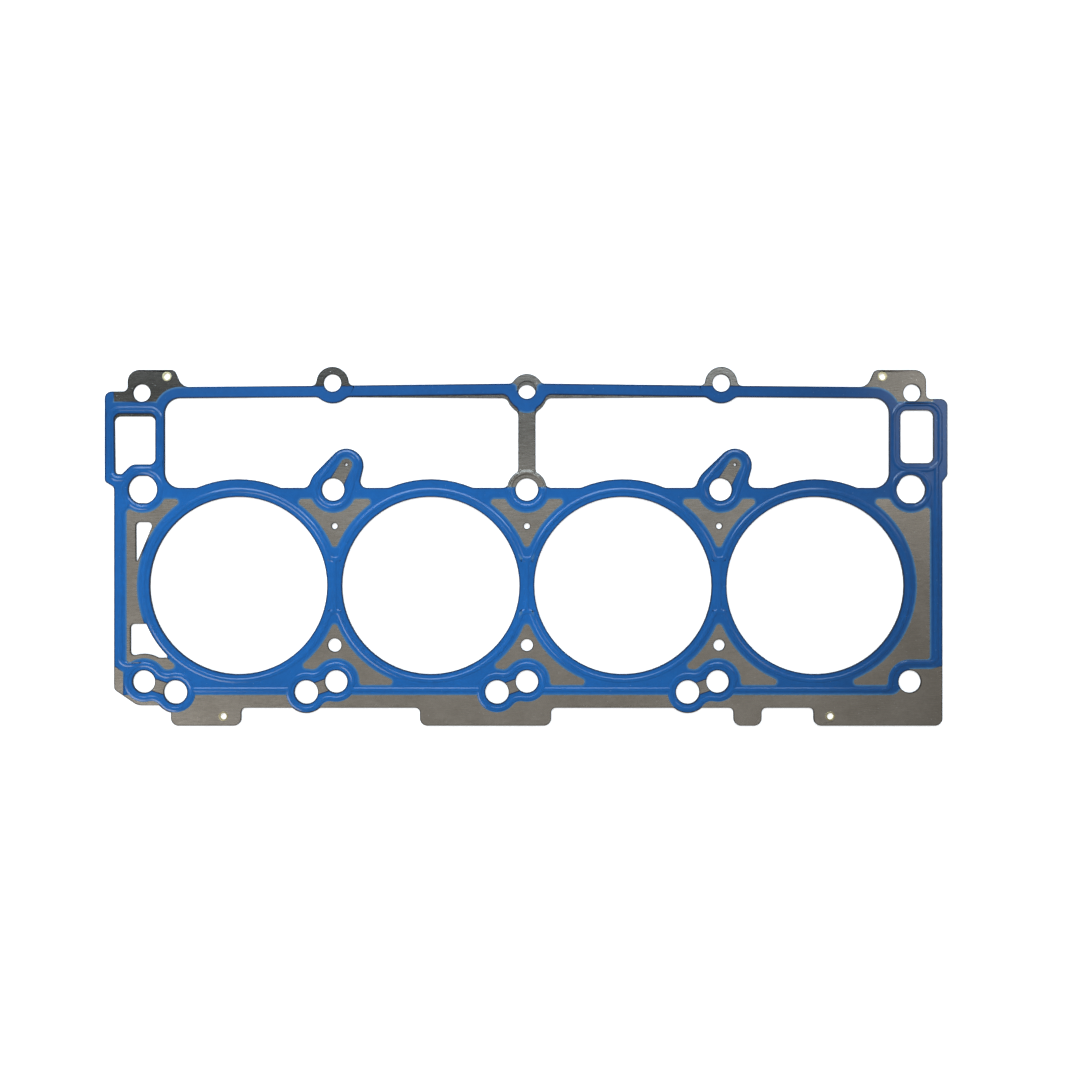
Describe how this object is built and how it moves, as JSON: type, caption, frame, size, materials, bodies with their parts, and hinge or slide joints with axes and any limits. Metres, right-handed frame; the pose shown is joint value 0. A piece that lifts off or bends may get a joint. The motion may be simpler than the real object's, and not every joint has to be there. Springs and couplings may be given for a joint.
{
  "type": "cylinder head gasket",
  "caption": "Flat layered steel gasket with round cylinder openings, embossed sealing beads and a blue sealing coat.",
  "frame": {"origin": "middle of the row of bores, on the plane of the engine block", "axes": "+X along the row of bores, +Y towards the pushrod windows, +Z towards the cylinder head"},
  "size_m": [0.4967, 0.2115, 0.0014],
  "materials": {
    "steel": "rolled stainless steel",
    "top_steel": "rolled stainless steel",
    "blue_coat": "satin elastomer coat",
    "eyelet_brass": "pale plated brass"
  },
  "bodies": {
    "root": {"lower_layer": "steel", "top_layer": "top_steel", "sealing_coat": "blue_coat", "eyelet_head_left": "eyelet_brass", "eyelet_head_right": "eyelet_brass", "eyelet_foot_left": "eyelet_brass", "eyelet_foot_right": "eyelet_brass"}
  },
  "joints": []
}
